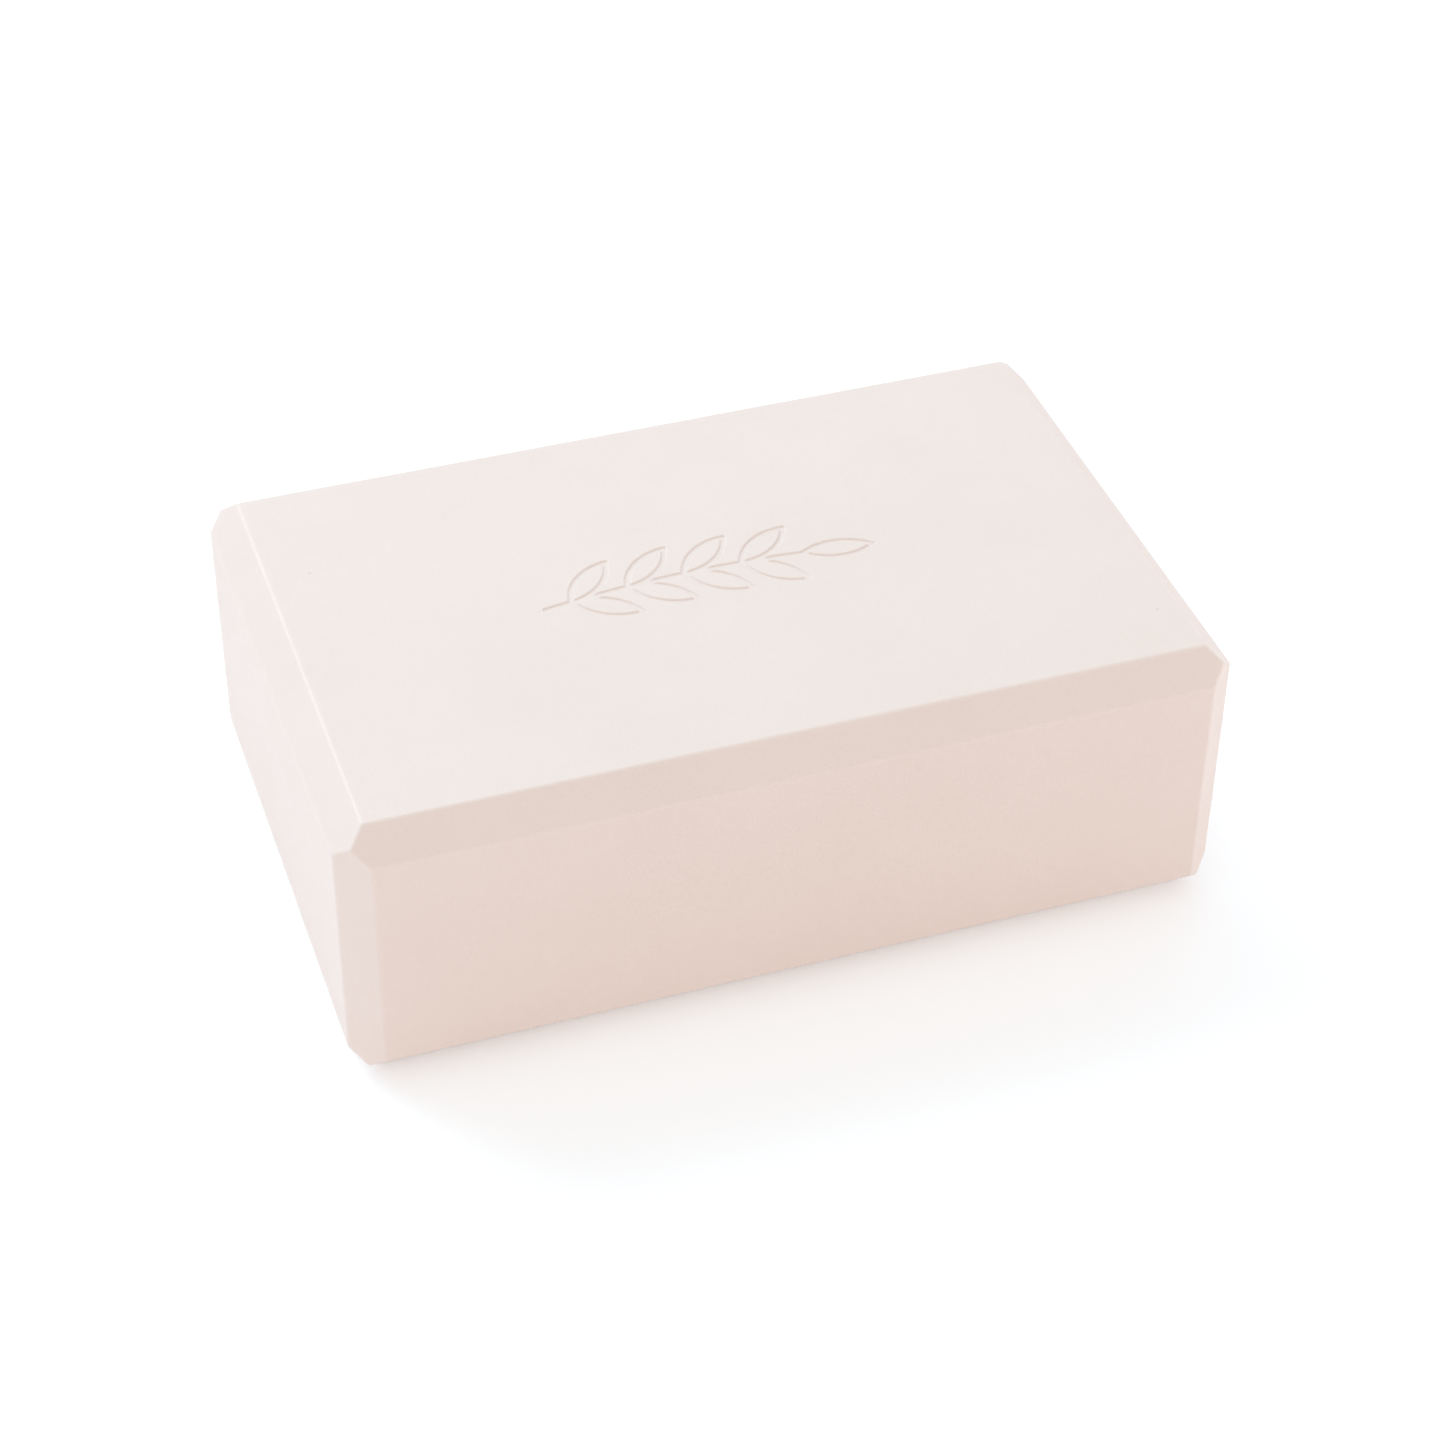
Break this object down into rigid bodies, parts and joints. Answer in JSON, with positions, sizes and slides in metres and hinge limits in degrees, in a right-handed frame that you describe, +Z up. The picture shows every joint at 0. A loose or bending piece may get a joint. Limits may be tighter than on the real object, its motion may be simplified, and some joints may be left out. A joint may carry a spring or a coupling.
{
  "type": "yoga block",
  "caption": "Bevelled brick of firm closed-cell foam, bonded from flat sheets, that props a hand, foot or hip at three heights in yoga.",
  "frame": {"origin": "centre of the flat face that the block lies on, at floor level", "axes": "+X along the length, +Y across the width away from the user, +Z up through the bonded sheets"},
  "size_m": [0.225, 0.145, 0.0766],
  "materials": {
    "foam": "matt fine closed-cell foam, pale pink all through",
    "bond": "thin cured adhesive film, tinted like the foam"
  },
  "bodies": {
    "root": {"lower_sheet": "foam", "core_sheet": "foam", "upper_sheet": "foam", "lower_bond_film": "bond", "upper_bond_film": "bond"}
  },
  "joints": []
}
